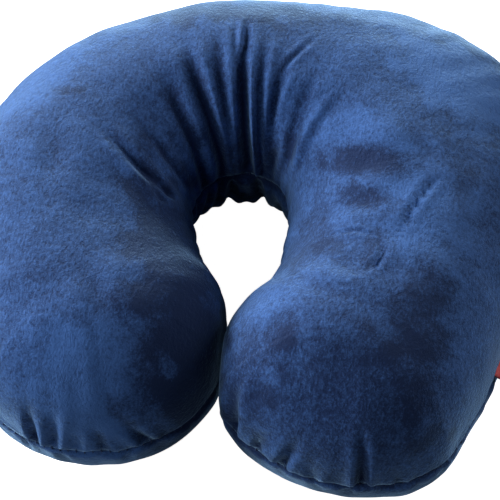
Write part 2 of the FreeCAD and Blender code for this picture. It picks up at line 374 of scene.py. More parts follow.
@dataclass(frozen=True)
class Velour:
    """Short pile velour: deep navy, paler where the pile lies one way and where a highlight is painted in,
    darker where shade is painted in, with a pale sheen at the edges.
    """

    deep: Colour = (0.0065, 0.0165, 0.062, 1.0)
    brushed_and_painted_light: Colour = (0.042, 0.112, 0.325, 1.0)
    sheen: Colour = (0.37, 0.65, 1.0, 1.0)
    sheen_weight: float = 0.85
    sheen_roughness: float = 0.38
    patch_weight: float = 0.50
    layer_weights: tuple[float, float, float] = (0.70, 1.20, 0.90)  # mottling, combed pile, single fibres
    nap_and_painted_light_range: tuple[float, float] = (1.12, 2.32)                   # pile shade and painted light at which the colour is all deep, and all pale

    def material(self) -> bpy.types.Material:
        """Nap: wide patches of pile lying one way, mottling, combed pile and single fibres, in colour and in
        relief; the mesh's per-point shade is added, part pile patches and part painted shade and painted
        highlight.
        """
        make = Recipe("navy_velour")
        patches = make.noise(15.0, 4.0, 0.6, 0.6)
        mottle = make.noise(240.0, 3.0, 0.65, 0.3)
        fibres = make.noise(1300.0, 2.0, 0.7)
        combed = make.noise(1.0, 3.0, 0.65, 0.0, make.stretched((760.0, 420.0, 640.0)))
        nap_and_painted_light = make.sum("MULTIPLY", patches, self.patch_weight)
        for layer, weight in zip((mottle, combed, fibres), self.layer_weights):
            nap_and_painted_light = make.sum("ADD", nap_and_painted_light, make.sum("MULTIPLY", layer, weight))
        # adds the mesh's per-point shade: real pile patches, painted shade and painted highlight from patches
        # that stand in for light, and painted crease shade and ridge highlight
        nap_and_painted_light = make.sum("ADD", nap_and_painted_light, make.attribute("brushed_and_painted_light"))
        colour = make.mix(make.spread(nap_and_painted_light, *self.nap_and_painted_light_range), self.deep, self.brushed_and_painted_light)
        relief = make.bump(mottle, 0.32, 0.0014)
        relief = make.bump(combed, 0.45, 0.0010, relief)
        relief = make.bump(fibres, 0.50, 0.0004, relief)
        return make.dress(colour, 0.92, relief, sheen_weight=self.sheen_weight,
                          sheen_roughness=self.sheen_roughness, sheen_tint=self.sheen,
                          specular_ior_level=0.12)


@dataclass(frozen=True)
class Thread:
    """Spun sewing thread with a tight twist."""

    name: str = "navy_thread"
    pale: Colour = (0.030, 0.055, 0.150, 1.0)
    deep: Colour = (0.010, 0.020, 0.065, 1.0)

    def material(self) -> bpy.types.Material:
        """Twist ribs at a third of a millimetre over a mottled colour."""
        make = Recipe(self.name)
        twist = make.wave(900.0, "DIAGONAL", bend=1.5)
        colour = make.mix(twist, self.deep, self.pale)
        return make.dress(colour, 0.7, make.bump(twist, 0.5, 0.0002), specular_ior_level=0.3)


@dataclass(frozen=True)
class WovenTape:
    """Woven narrow fabric: fine ribs both ways, with a thread or so of colour change."""

    name: str
    pale: Colour
    deep: Colour
    ribs: float = 700.0
    roughness: float = 0.78
    sheen_weight: float = 0.25

    def material(self) -> bpy.types.Material:
        """Weft ribs across warp ribs, in colour and in relief."""
        make = Recipe(self.name)
        weft = make.wave(self.ribs, "Z", bend=0.6)
        warp = make.wave(self.ribs * 0.8, "DIAGONAL", bend=0.6)
        weave = make.sum("MULTIPLY", weft, warp)
        fuzz = make.noise(800.0, 2.0, 0.6)
        shade = make.sum("ADD", make.sum("MULTIPLY", weave, 0.6), make.sum("MULTIPLY", fuzz, 0.4))
        colour = make.mix(shade, self.deep, self.pale)
        relief = make.bump(weave, 0.5, 0.00025)
        relief = make.bump(fuzz, 0.2, 0.0002, relief)
        return make.dress(colour, self.roughness, relief, sheen_weight=self.sheen_weight,
                          sheen_roughness=0.4, specular_ior_level=0.3)


@dataclass(frozen=True)
class EnamelledZinc:
    """Die cast zinc under navy enamel, rubbed bright in places."""

    enamel: Colour = (0.016, 0.030, 0.085, 1.0)
    metal: Colour = (0.42, 0.43, 0.46, 1.0)

    def material(self) -> bpy.types.Material:
        """Orange peel in the enamel, with worn flecks that show the metal."""
        make = Recipe("enamelled_zinc")
        peel = make.noise(900.0, 3.0, 0.5)
        worn = make.spread(make.noise(420.0, 4.0, 0.75), 0.64, 0.72)
        colour = make.mix(worn, self.enamel, self.metal)
        rough = make.spread(peel, 0.2, 0.8, 0.26, 0.44)
        return make.dress(colour, rough, make.bump(peel, 0.15, 0.0002), metallic=0.35,
                          coat_weight=0.3, coat_roughness=0.2)


@dataclass(frozen=True)
class NylonCoil:
    """Dyed nylon filament."""

    pale: Colour = (0.028, 0.045, 0.120, 1.0)
    deep: Colour = (0.012, 0.022, 0.066, 1.0)

    def material(self) -> bpy.types.Material:
        """Slightly cloudy, smooth filament."""
        make = Recipe("nylon_coil")
        cloud = make.noise(600.0, 2.0, 0.6)
        return make.dress(make.mix(cloud, self.deep, self.pale), make.spread(cloud, 0.2, 0.8, 0.32, 0.5),
                          make.bump(cloud, 0.1, 0.0001))


@dataclass(frozen=True)
class Jersey:
    """Thin white knit."""

    pale: Colour = (0.86, 0.86, 0.84, 1.0)
    deep: Colour = (0.66, 0.66, 0.64, 1.0)

    def material(self) -> bpy.types.Material:
        """Knit ribs with a little pilling."""
        make = Recipe("white_jersey")
        ribs = make.wave(520.0, "DIAGONAL", bend=1.0)
        pills = make.noise(300.0, 4.0, 0.7)
        colour = make.mix(make.sum("MULTIPLY", ribs, pills), self.deep, self.pale)
        return make.dress(colour, 0.9, make.bump(ribs, 0.4, 0.0003), sheen_weight=0.2, sheen_roughness=0.5)


@dataclass(frozen=True)
class OpenCellFoam:
    """Cream moulded foam with open cells."""

    pale: Colour = (0.88, 0.83, 0.66, 1.0)
    deep: Colour = (0.55, 0.47, 0.30, 1.0)

    def material(self) -> bpy.types.Material:
        """Cells of half a millimetre, in colour and in relief."""
        make = Recipe("open_cell_foam")
        cells = make.node("ShaderNodeTexVoronoi")
        make.feed(cells.inputs["Vector"], make.place)
        cells.inputs["Scale"].default_value = 900.0
        hollow = cells.outputs["Distance"]
        colour = make.mix(make.spread(hollow, 0.0, 0.7), self.deep, self.pale)
        return make.dress(colour, 0.95, make.bump(hollow, 0.6, 0.0005))


@dataclass(frozen=True)
class PaleFloor:
    """Matt white table top."""

    white: Colour = (0.93, 0.93, 0.93, 1.0)
    grey: Colour = (0.91, 0.91, 0.91, 1.0)
    bounce: Colour = (0.20, 0.20, 0.20, 1.0)            # what the pillow gets back from it
    glow: float = 1.0

    def material(self) -> bpy.types.Material:
        """White with a faint cloud, lit from behind like a light table, and dim to what stands on it."""
        make = Recipe("white_floor")
        cloud = make.mix(make.noise(3.0), self.white, self.grey)
        seen = make.node("ShaderNodeLightPath").outputs["Is Camera Ray"]
        make.shader.inputs["Emission Color"].default_value = (1.0, 1.0, 1.0, 1.0)
        make.feed(make.shader.inputs["Emission Strength"], make.sum("MULTIPLY", seen, self.glow))
        return make.dress(make.mix(seen, self.bounce, cloud), 0.9, specular_ior_level=0.0)


# ---------------------------------------------------------------- the pillow's form


@dataclass(frozen=True)
class ArmPlan:
    """Plan of one arm: a curved middle line, with the roll's width to both sides, and a round tip."""

    side: Side
    length: float                                       # middle line, from the back to the tip's centre
    bends: tuple[float, float, float, float]            # radii of the middle line, evenly spaced
    outer: tuple[float, float, float, float]            # middle line to outer seam
    inner: tuple[float, float, float, float]            # middle line to neck seam
    crown: tuple[float, float, float]                   # seam to crown
    tip_reach: float
    tip_lean: float
    outer_slope: float
    tip_drop: float                                     # how far the seam sags at the front of the lobe

    def middle(self, shares: np.ndarray, back_y: float) -> tuple[np.ndarray, np.ndarray]:
        """Middle line: its heading is the running sum of curvature, its places that of the heading.

        Args:
            shares: places along the line, from 0 at the back to 1 at the tip's centre.
            back_y: y where the line crosses the middle of the back.

        Returns:
            (n, 2) places, for a right arm, and the heading there in radians.
        """
        fine = np.linspace(0.0, 1.0, 801)
        curvature = cubic_through(tuple(1.0 / bend for bend in self.bends), 0.0, fine)
        step = self.length / (len(fine) - 1)

        def running(values: np.ndarray) -> np.ndarray:
            """Sum of trapezoids up to each place."""
            return np.concatenate([[0.0], np.cumsum((values[1:] + values[:-1]) * 0.5 * step)])

        heading = running(curvature)
        x, y = running(np.cos(heading)), running(-np.sin(heading)) + back_y
        line = np.stack([np.interp(shares, fine, x), np.interp(shares, fine, y)], -1)
        return line, np.interp(shares, fine, heading)

    def outline(self, stations: int, tip_stations: int, back_y: float) -> tuple[np.ndarray, ...]:
        """Seam, middle line and crown height from the back, out round the tip and back in to the neck.

        Args:
            stations: columns along one flank.
            tip_stations: columns round the tip.
            back_y: y where the middle line crosses the middle of the back.

        Returns:
            (n, 2) seam, (n, 2) middle line, (n,) crown heights, (n,) number of the middle line's
            station, and (n,) whether the column is on the neck flank.
        """
        shares = np.linspace(0.0, 1.0, stations + 1)
        line, heading = self.middle(shares, back_y)
        across = np.stack([np.sin(heading), np.cos(heading)], -1)
        along = np.stack([np.cos(heading[-1:]), -np.sin(heading[-1:])], -1)
        outer = cubic_through(self.outer, self.outer_slope, shares)[:, None]
        inner = cubic_through(self.inner, 0.0, shares)[:, None]
        rise = cubic_through(self.crown, 0.0, shares)
        turn = np.linspace(0.0, np.pi, tip_stations + 2)[1:-1, None]
        width = np.where(np.cos(turn) > 0, outer[-1], inner[-1])
        sideways = width * np.cos(turn) - self.tip_lean * np.sin(turn) ** 2
        tip = line[-1] + along * self.tip_reach * np.sin(turn) + across[-1] * sideways
        seam = np.concatenate([line + across * outer, tip, (line - across * inner)[::-1]])
        middle = np.concatenate([line, np.repeat(line[-1:], tip_stations, 0), line[::-1]])
        height = np.concatenate([rise, np.full(tip_stations, rise[-1]), rise[::-1]])
        number = np.arange(stations + 1)
        station = np.concatenate([number, np.full(tip_stations, stations), number[::-1]])
        neck = np.arange(len(seam)) > stations + tip_stations // 2
        mirror = np.array([self.side.value, 1.0])
        return seam * mirror, middle * mirror, height, station, neck


@dataclass
class Outline:
    """The closed run of columns round the whole U, clockwise from the middle of the back."""

    seam: np.ndarray
    middle: np.ndarray
    crown: np.ndarray
    station: np.ndarray         # columns with the same number share one crown point
    neck: np.ndarray
    gap: np.ndarray             # half the opening between the panels
    seam_level: np.ndarray      # height of the seam
    zip_share: np.ndarray       # 1 where the zip is
    calm: np.ndarray            # 1 where the zip's tapes hold the panels flat

    @property
    def distance(self) -> np.ndarray:
        """Length along the seam up to each column."""
        steps = np.linalg.norm(np.diff(self.seam, axis=0), axis=1)
        return np.concatenate([[0.0], np.cumsum(steps)])

    @property
    def total(self) -> float:
        """Length of the closed seam."""
        return float(self.distance[-1] + np.linalg.norm(self.seam[0] - self.seam[-1]))


@dataclass(frozen=True)
class ZipPlace:
    """Where the zip lies: an arc about its own axis, on the left half of the back."""

    axis: tuple[float, float] = (-9.5, -4.2)
    radius: float = 149.0
    first_heading: float = -90.0
    last_heading: float = -14.0
    slit: float = 4.8                                   # half the opening between the panels, at the zip
    seam_gap: float = 0.15                              # and away from it
    seam_window: tuple[float, float] = (14.0, 1.5)      # where the seam lies on the arc: ease and outside
    slit_window: tuple[float, float] = (1.3, -0.6)      # where the panels part
    calm_window: tuple[float, float] = (7.0, 4.0)       # where the tapes hold the panels flat
    nearest: float = 0.72                               # share of the radius inside which nothing counts

    def headings(self, plan: np.ndarray) -> np.ndarray:
        """Heading about the zip's axis, in degrees clockwise from +y."""
        return np.degrees(np.arctan2(plan[..., 0] - self.axis[0], plan[..., 1] - self.axis[1]))

    def at(self, heading: np.ndarray, inset: float = 0.0) -> np.ndarray:
        """Places in plan on the arc, or inside it."""
        turn = np.radians(heading)
        out = np.stack([np.sin(turn), np.cos(turn)], -1)
        return np.array(self.axis) + out * (self.radius - inset)

    def window(self, plan: np.ndarray, ease: float, outside: float) -> np.ndarray:
        """1 along the zip, fading to 0 over `ease` degrees, beginning `outside` degrees past its ends."""
        heading = self.headings(plan)
        reach = np.linalg.norm(plan - np.array(self.axis), axis=-1)
        first, last = self.first_heading - outside, self.last_heading + outside
        inside = smooth(heading, first - ease, first) * (1.0 - smooth(heading, last, last + ease))
        return inside * (reach > self.nearest * self.radius)


@dataclass(frozen=True)
class Fold:
    """A gather in the top panel, drawn in plan as a curve through three places."""

    start: tuple[float, float]
    bend: tuple[float, float]
    end: tuple[float, float]
    width: float
    depth: float                # negative for a ridge
    rooted: bool = True         # runs into the seam at its end, and fades only at its start
    fade_end: float = 0.55      # share of the length over which it fades in
    free_gain: float = 1.15     # how much a fold with two free ends is deepened
    root_width: float = 0.75    # width at the end, as a share of that at the start

    def relief(self, plan: np.ndarray) -> np.ndarray:
        """Height that the fold adds: -depth (1 - q^2) e^(-q^2 / 2), q the distance over the width.

        The valley has a soft ridge to each side, and fades towards its free ends.

        Args:
            plan: (..., 2) places.

        Returns:
            Height along the surface's normal.
        """
        share = np.linspace(0.0, 1.0, 25)[:, None]
        a, b, c = (np.array(place) for place in (self.start, self.bend, self.end))
        middle = 2.0 * b - (a + c) / 2.0
        line = a * (1 - share) ** 2 + middle * 2 * share * (1 - share) + c * share ** 2
        away = np.linalg.norm(plan[..., None, :] - line, axis=-1)
        nearest = away.argmin(-1)
        along = share[nearest, 0]
        fade = smooth(along, 0.0, self.fade_end)
        if not self.rooted:
            fade = fade * (1.0 - smooth(along, self.fade_end, 1.0)) * self.free_gain
        q = away.min(-1) / (self.width * (self.root_width + (1.0 - self.root_width) * (1.0 - along)))
        return -self.depth * fade * (1.0 - q * q) * np.exp(-0.5 * q * q)


@dataclass(frozen=True)
class Pucker:
    """A short gather that stands on the seam, at a distance along it."""

    distance: float
    width: float
    height: float
    depth: float
    lean: float = 0.0

    def relief(self, distance: np.ndarray, rise: np.ndarray, total: float) -> np.ndarray:
        """The fold's valley profile across the gather, times an even fade up to its height.

        Args:
            distance: length along the seam of each point's column.
            rise: length from the seam up the panel.
            total: length of the closed seam.

        Returns:
            Height along the surface's normal.
        """
        off = (distance - self.distance - self.lean * rise + total / 2.0) % total - total / 2.0
        q = off / (self.width * (1.0 + 0.5 * rise / self.height))
        fade = np.clip(1.0 - rise / self.height, 0.0, 1.0) ** 1.3
        return -self.depth * fade * (1.0 - q * q) * np.exp(-0.5 * q * q)


@dataclass(frozen=True)
class PuckerDraw:
    """Ranges from which the small gathers along a stretch of seam are drawn."""

    width: tuple[float, float]
    height: tuple[float, float]
    share: tuple[float, float]          # of the panel's depth
    lean: tuple[float, float]
    pitch: tuple[float, float]
    depths: tuple[float, float]         # in the top and in the bottom panel

    def pucker(self, at: float, half: Half, draw: np.random.Generator) -> Pucker:
        """One gather, at a distance along the seam."""
        depth = self.depths[0] if half is Half.TOP else self.depths[1]
        return Pucker(at, draw.uniform(*self.width), draw.uniform(*self.height),
                      depth * draw.uniform(*self.share), draw.uniform(*self.lean))


@dataclass(frozen=True)
class Patch:
    """Shade in a soft ellipse in plan, with a ragged edge: on some patches pile lying one way, on others
    painted shade where the shade is negative and painted highlight where it is positive.
    """

    centre: tuple[float, float]
    radii: tuple[float, float]
    turn: float
    shade: float
    raggedness: float = 0.28
    rim: tuple[float, float] = (0.55, 1.25)             # reach at which the shade begins to fade, and ends

    def share(self, plan: np.ndarray, ragged: np.ndarray) -> np.ndarray:
        """Shade inside the ellipse, fading over its rim, which the ragged field moves."""
        turn = np.radians(self.turn)
        axes = np.array([[np.cos(turn), np.sin(turn)], [-np.sin(turn), np.cos(turn)]])
        local = (plan - np.array(self.centre)) @ axes.T / np.array(self.radii)
        reach = np.linalg.norm(local, axis=-1) + self.raggedness * ragged
        return self.shade * (1.0 - smooth(reach, *self.rim))


@dataclass
class Gathers:
    """All that sewing and stuffing do to the panels: neck folds, seam puckers, dents and lumps."""

    neck_folds: tuple[Fold, ...] = (
        Fold((-43, 90), (-26, 53), (-15, 36), 4.4, 2.5),
        Fold((-36, 92), (-24, 62), (-12, 36), 3.0, -0.9),
        Fold((-50, 66), (-36, 42), (-25, 27), 4.2, 1.9),
        Fold((-10, 110), (-5, 54), (-1, 37), 4.0, 4.6),
        Fold((-12, 108), (-10, 88), (-9, 70), 2.2, -1.4, False),
        Fold((-6, 92), (0, 52), (3, 38), 1.9, -2.1),
        Fold((4, 96), (4, 62), (6, 38), 3.6, 1.2),
        Fold((-76, 27), (-57, 9), (-38, -2), 3.8, 2.2),
        Fold((-64, 10), (-52, 2), (-40, -8), 3.0, 1.2),
        Fold((-66, 44), (-48, 24), (-34, 14), 3.4, 1.1),
        Fold((9, 92), (7, 66), (8, 40), 3.0, -1.0),
        Fold((18, 86), (13, 58), (12, 37), 3.8, 1.4),
        Fold((22, 76), (15, 54), (12, 40), 3.0, -1.1),
        Fold((34, 74), (26, 52), (20, 33), 4.0, 1.4),
        Fold((46, 62), (34, 46), (25, 29), 3.4, -1.1),
        Fold((36, 100), (20, 80), (12, 66), 2.0, 0.8, False),
        Fold((-24, 104), (-17, 62), (-8, 38), 3.8, 1.2),
    )
    body_dents: tuple[Fold, ...] = (
        Fold((38, 27), (61, 18), (82, 6), 12.0, 1.2, False),
        Fold((50, 0), (62, -8), (76, -14), 9.0, 0.9, False),
        Fold((42, -30), (59, -28), (71, -34), 1.7, 0.5, False),
        Fold((70, -32), (74, -46), (58, -58), 1.8, 1.8, False),
        Fold((36, -46), (52, -58), (72, -60), 7.0, -0.8, False),
        Fold((101, 8), (90, -8), (77, -42), 2.2, 1.8, False),
        Fold((8, -104), (9, -112), (9, -119), 4.5, 2.6),
        Fold((-104, 26), (-96, 6), (-92, -16), 9.0, 0.9, False),
        Fold((-70, -62), (-60, -76), (-52, -94), 8.0, 0.8, False),
    )
    # some of these are painted light, not pile: the dark ones at (-28, -52), (-10, -92) and (-18, 112) are
    # painted shade on the left arm's inner flank, the left lobe and the top rim; the pale ones at (108, 78),
    # (-116, 60) and (-60, -112) are painted highlight on the rims and the left lobe
    patches: tuple[Patch, ...] = (
        Patch((61, 17), (27, 8), -20.0, -0.36),
        Patch((63, -8), (15, 7), -20.0, -0.32),
        Patch((32, -87), (11, 12), 20.0, -0.30),
        Patch((90, -72), (20, 10), 40.0, -0.26),
        Patch((97, -55), (10, 12), 0.0, -0.28),
        Patch((102, -84), (10, 12), 0.0, -0.32),
        Patch((90, -90), (12, 7), 0.0, -0.24),
        Patch((95, -106), (16, 20), 20.0, -0.24),
        Patch((112, 4), (6, 14), -20.0, -0.26),
        Patch((62, -116), (44, 28), 0.0, -0.20),
        Patch((18, -106), (14, 26), 0.0, -0.26),
        Patch((38, -26), (12, 26), -10.0, -0.22),
        Patch((50, -37), (9, 7), 0.0, -0.22),
        Patch((70, -40), (4, 14), -12.0, -0.22),
        Patch((28, -70), (14, 16), 0.0, 0.14),
        Patch((98, -16), (24, 40), 0.0, 0.30),
        Patch((56, 34), (28, 14), -20.0, 0.22),
        Patch((108, 78), (40, 28), -40.0, 0.48),
        Patch((-28, -52), (20, 78), 15.0, -0.44),
        Patch((-51, -47), (9, 8), 30.0, -0.22),
        Patch((-46, -78), (8, 10), -20.0, -0.26),
        Patch((-30, -110), (9, 12), 20.0, -0.26),
        Patch((-95, 46), (10, 4), 0.0, -0.28),
        Patch((-10, -92), (14, 48), 0.0, -0.34),
        Patch((-60, -112), (24, 22), 0.0, 0.38),
        Patch((-60, -136), (34, 16), 0.0, 0.26),
        Patch((-116, 60), (24, 44), -30.0, 0.22),
        Patch((-18, 112), (54, 14), 0.0, -0.44),
        Patch((-26, 50), (22, 24), -30.0, -0.16),
        Patch((2, 36), (26, 7), 0.0, -0.30),
    )
    front_puckers: tuple[tuple[float, float, float, float, float, float], ...] = (
        (-86, -134, 2.4, 36, 4.4, 0.1), (-77, -135, 2.4, 32, 4.4, -0.1), (-64, -136, 2.2, 18, 2.4, 0.0),
        (-51, -135, 2.6, 24, 3.0, 0.2), (-29, -127, 2.8, 30, 4.2, 0.5), (9, -117, 3.0, 24, 3.2, 0.0),
        (20, -127, 2.4, 22, 3.0, -0.2), (34, -135, 2.6, 32, 4.4, -0.3), (51, -140, 2.4, 16, 2.0, 0.0),
        (73, -141, 2.4, 44, 5.0, 0.0), (92, -138, 2.4, 18, 2.4, 0.2),
    )                           # x, y, width, height, depth and lean
    under_folds: tuple[Fold, ...] = (
        Fold((-60, 60), (-42, 44), (-27, 29), 4.0, 2.4),
        Fold((-30, 96), (-20, 64), (-11, 37), 4.2, 3.0),
        Fold((6, 100), (4, 66), (4, 38), 4.0, 3.0),
        Fold((40, 84), (28, 58), (17, 34), 4.2, 2.6),
        Fold((70, 34), (52, 16), (36, 4), 4.2, 2.0),
    )
    anchor: float = 6.0                                 # how soon the gathers begin above the seam
    neck_puckers: PuckerDraw = PuckerDraw((1.7, 2.8), (14, 34), (0.5, 1.5), (-0.1, 0.1), (6.5, 11.0),
                                          (0.7, 1.5))
    seam_puckers: PuckerDraw = PuckerDraw((1.8, 3.2), (7, 18), (0.2, 0.9), (-0.25, 0.25), (11.0, 24.0),
                                          (1.3, 2.4))
    neck_front: float = -45.0                           # y at which the neck's close gathers begin
    seeds: tuple[int, int] = (31, 57)                   # of the top and the bottom panel's small gathers
    calm_reach: float = 14.0                            # how far up the panel the zip's tapes hold it
    lump_height: float = 0.9
    lump_lengths: tuple[float, float] = (45.0, 110.0)
    small_lump_height: float = 0.22
    small_lump_lengths: tuple[float, float] = (16.0, 30.0)
    groove: float = 1.5
    groove_height: float = 2.0
    hem_depth: float = 1.2                              # how far the panel's edge is turned in at the zip
    hem_height: float = 1.1
    topstitch_rise: float = 3.9
    topstitch_depth: float = 0.7
    topstitch_width: float = 1.0
    ragged_lengths: tuple[float, float] = (9.0, 26.0)   # of the waves in the nap patches' edges

    def puckers(self, outline: Outline, half: Half) -> list[Pucker]:
        """Draws the small gathers of one panel, close together at the neck, and adds the placed ones.

        Args:
            outline: the columns.
            half: which panel.

        Returns:
            The panel's puckers.
        """
        draw = np.random.default_rng(self.seeds[0] if half is Half.TOP else self.seeds[1])
        distance, total = outline.distance, outline.total
        made, at = [], 0.0
        while at < total:
            column = int(np.searchsorted(distance, at)) % len(distance)
            at_neck = outline.neck[column] and outline.seam[column, 1] > self.neck_front
            kind = self.neck_puckers if at_neck else self.seam_puckers
            made.append(kind.pucker(at, half, draw))
            at += draw.uniform(*kind.pitch)
        if half is Half.TOP:
            for x, y, width, height, depth, lean in self.front_puckers:
                column = int(np.linalg.norm(outline.seam - np.array([x, y]), axis=1).argmin())
                made.append(Pucker(float(distance[column]), width, height, depth, lean))
        return made

    def relief(self, outline: Outline, half: Half, places: np.ndarray,
               rise: np.ndarray) -> tuple[np.ndarray, np.ndarray]:
        """Height of all folds, puckers, lumps and the seam's groove together.

        Args:
            outline: the columns.
            half: which panel.
            places: (rows, columns, 3) places on the plain form.
            rise: (rows, columns) length from the panel's edge.

        Returns:
            (rows, columns) height along the surface's normal, and the part of it in creases.
        """
        plan = places[..., :2]
        zipped = outline.zip_share
        free = 1.0 - outline.calm * np.exp(-(rise / self.calm_reach) ** 2)
        eased = smooth(rise, -self.anchor * 0.15, self.anchor) * free
        crease = np.zeros(rise.shape)
        for fold in self.neck_folds + self.body_dents if half is Half.TOP else self.under_folds:
            crease = crease + fold.relief(plan)
        for pucker in self.puckers(outline, half):
            crease = crease + pucker.relief(outline.distance, rise, outline.total)
        lumps = self.lump_height * ripples(places, self.lump_lengths, 28, 5 if half is Half.TOP else 6)
        lumps = lumps + self.small_lump_height * ripples(places, self.small_lump_lengths, 30, 8)
        seam = -self.groove * np.exp(-(rise / self.groove_height) ** 2) * (1.0 - zipped)
        hem = -self.hem_depth * np.exp(-(rise / self.hem_height) ** 2) * zipped
        off = (rise - self.topstitch_rise) / self.topstitch_width
        channel = -self.topstitch_depth * np.exp(-off ** 2) * zipped
        return (crease + lumps) * eased + seam + hem + channel, crease * eased + seam

    def nap_patches_and_painted_light(self, places: np.ndarray) -> np.ndarray:
        """Shade of the patches at each place: pile lying one way, and also painted shade and painted
        highlight.
        """
        plan = places[..., :2]
        ragged = ripples(places, self.ragged_lengths, 30, 12)
        shade = np.zeros(plan.shape[:-1])
        for patch in self.patches:
            shade = shade + patch.share(plan, ragged)
        return shade


@dataclass
class PillowForm:
    """The stuffed roll: a rounded section carried round the U, with its gathers.

    The section is a superellipse: a point at angle t is the middle plus the way to the seam times
    cos(t)^(2/n), at a height of the crown's times sin(t)^(2/n).
    """

    right: ArmPlan = ArmPlan(Side.RIGHT, 228.1, (87.1, 94.9, 109.3, 111.6), (54.4, 86.5, 58.2, 64.5),
                             (52.4, 61.5, 68.75, 64.0), (55.2, 54.1, 55.0), 65.3, 13.4, 21.9, 3.0)
    left: ArmPlan = ArmPlan(Side.LEFT, 221.0, (87.1, 95.2, 100.0, 121.4), (54.4, 65.0, 65.4, 62.8),
                            (52.4, 55.5, 67.1, 68.6), (55.2, 53.0, 55.0), 65.2, 7.3, -21.9, 6.5)
    back_y: float = 90.9
    seam_height: float = 55.0
    belly: float = 1.2                  # how much deeper the lower half is
    drop_span: tuple[float, float] = (70.0, 120.0)      # how far to the front the seam begins to sag
    fullness: float = 2.15
    under_fullness: float = 2.04
    waver: float = 0.8                  # how far the seam wanders up and down between its gathers
    waver_lengths: tuple[float, float] = (14.0, 30.0)
    floor: float = 0.3
    floor_ease: float = 1.6
    lobe_gap: float = 0.35
    lobe_ease: float = 1.4
    lobe_span: tuple[float, float] = (-60.0, -30.0)     # y over which the lobes' flat inner sides end
    zip_place: ZipPlace = field(default_factory=ZipPlace)
    gathers: Gathers = field(default_factory=Gathers)

    def outline(self, stations: int, tip_stations: int) -> Outline:
        """Joins the two arms' columns into one closed run, and lays the zip's stretch on its arc.

        Args:
            stations: columns along one flank of an arm.
            tip_stations: columns round a tip.

        Returns:
            The closed run.
        """
        right = self.right.outline(stations, tip_stations, self.back_y)
        left = [values[::-1] for values in self.left.outline(stations, tip_stations, self.back_y)]
        left[3] = np.where(left[3] == 0, 0, left[3] + stations)
        seam, middle, crown, station, neck = (
            np.concatenate([a, b[1:-1]]) for a, b in zip(right, left))
        place = self.zip_place
        near = place.window(seam, *place.seam_window)[:, None]
        seam = seam * (1.0 - near) + place.at(place.headings(seam)) * near
        zipped = place.window(seam, *place.slit_window)
        gap = place.seam_gap + (place.slit - place.seam_gap) * zipped
        drop = np.where(seam[:, 0] > 0.0, self.right.tip_drop, self.left.tip_drop)
        level = self.seam_height - drop * smooth(-seam[:, 1], *self.drop_span)
        ring = np.concatenate([seam, np.zeros((len(seam), 1))], 1)
        level = level + self.waver * ripples(ring, self.waver_lengths, 16, 21) * (1.0 - near[:, 0])
        calm = place.window(seam, *place.calm_window)
        return Outline(seam, middle, crown, station, neck, gap, level, zipped, calm)

    def surface(self, outline: Outline, half: Half, rows: int, depth: float = 0.0,
                grading: float = 1.35) -> tuple[np.ndarray, np.ndarray, np.ndarray, np.ndarray]:
        """One half of the roll, at a depth below the cover's outer face.

        Args:
            outline: the columns.
            half: upper or lower.
            rows: steps from the seam to the crown.
            depth: distance inside the outer face.
            grading: above 1, rows are closer together at the seam.

        Returns:
            (rows + 1, columns, 3) places, unit normals of the plain form, the length of the surface
            from the panel's edge, and the height of its creases.
        """
        power = 2.0 / (self.fullness if half is Half.TOP else self.under_fullness)
        sag = self.seam_height - outline.seam_level
        crown = outline.crown + (sag if half is Half.TOP else self.belly - sag)
        start = np.arcsin(np.clip(outline.gap / crown, 0.0, 1.0) ** (1.0 / power))
        share = np.linspace(0.0, 1.0, rows + 1)[:, None] ** grading
        angle = start + (np.pi / 2.0 - start) * share
        cosine, sine = np.clip(np.cos(angle), 0.0, 1.0), np.sin(angle)
        flat, tall = cosine ** power, sine ** power
        reach = outline.seam - outline.middle
        width = np.linalg.norm(reach, axis=1)
        out = reach / width[:, None]
        plan = outline.middle + reach * flat[..., None]
        height = outline.seam_level + half.value * crown * tall
        places = np.concatenate([plan, height[..., None]], -1)
        lean = out * (cosine ** (2.0 - power) / width)[..., None]
        lift = half.value * sine ** (2.0 - power) / crown
        normals = unit(np.concatenate([lean, lift[..., None]], -1))
        steps = np.linalg.norm(np.diff(places, axis=0), axis=-1)
        rise = np.concatenate([np.zeros((1, steps.shape[1])), np.cumsum(steps, axis=0)])
        lifted, crease = self.gathers.relief(outline, half, places, rise)
        places = places + normals * (lifted - depth)[..., None]
        places[..., 0] = self.parted(places, outline)
        places[..., 2] = soft_floor(places[..., 2], self.floor + depth, self.floor_ease)
        return places, normals, rise, crease

    def parted(self, places: np.ndarray, outline: Outline) -> np.ndarray:
        """x of each place, with each front lobe kept flat against the middle plane."""
        count = len(outline.seam)
        side = np.where(np.arange(count) <= count // 2, 1.0, -1.0)
        kept = side * soft_floor(side * places[..., 0], self.lobe_gap, self.lobe_ease)
        front = 1.0 - smooth(places[..., 1], *self.lobe_span)
        return places[..., 0] * (1.0 - front) + kept * front


def dome(outline: Outline, skin: np.ndarray, start: int,
         foot: np.ndarray | None = None) -> tuple[np.ndarray, np.ndarray]:
    """Points of one skin, where columns that share a crown point are joined in their mean.

    The flanks meet so along the middle line, and each tip closes in one point.

    Args:
        outline: the columns.
        skin: (rows, columns, n) places from the seam to the crown, with any values that go with them.
        start: number of the first point that is made here.
        foot: numbers of the seam row's points, if they are there already.

    Returns:
        The new points, and the (rows, columns) numbers of all the skin's points.
    """
    _, first, member = np.unique(outline.station, return_index=True, return_inverse=True)
    shared = np.zeros((len(first), skin.shape[-1]))
    np.add.at(shared, member, skin[-1])
    shared /= np.bincount(member)[:, None]
    body = skin[:-1] if foot is None else skin[1:-1]
    rows, columns = body.shape[:2]
    index = np.vstack([np.arange(rows * columns).reshape(rows, columns), rows * columns + member]) + start
    if foot is not None:
        index = np.vstack([foot, index])
    return np.concatenate([body.reshape(-1, skin.shape[-1]), shared]), index


